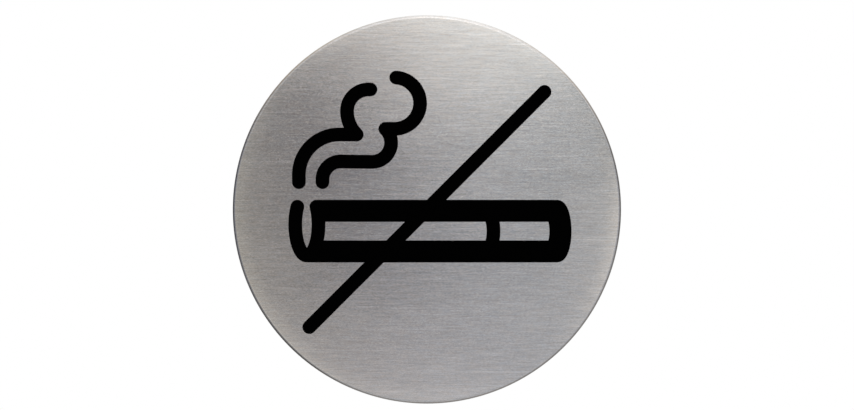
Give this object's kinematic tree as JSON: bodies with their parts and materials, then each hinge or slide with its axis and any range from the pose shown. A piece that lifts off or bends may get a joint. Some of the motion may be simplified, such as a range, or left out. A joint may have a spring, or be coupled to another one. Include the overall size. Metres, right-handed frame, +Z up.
{
  "type": "no smoking sign",
  "caption": "Round self-adhesive door sign: a shallow pressed cap of brushed steel with a printed no smoking pictogram and a foam pad in its back.",
  "frame": {"origin": "centre of the adhesive pad's back face, on the wall or door", "axes": "+Z up as the sign hangs, +X to the right as a reader sees it, +Y into the wall, so the face looks along -Y"},
  "size_m": [0.083, 0.0022, 0.083],
  "materials": {
    "brushed_plate": "stainless sheet, belt brushed from side to side on its face, plain behind",
    "black_ink": "screen-printed black enamel ink, satin and even",
    "pad_foam": "pale closed-cell foam tape with a tacky adhesive on its back"
  },
  "bodies": {
    "root": {"face_plate": "brushed_plate", "adhesive_pad": "pad_foam", "cigarette_and_bar": "black_ink", "left_smoke": "black_ink", "right_smoke": "black_ink"}
  },
  "joints": []
}
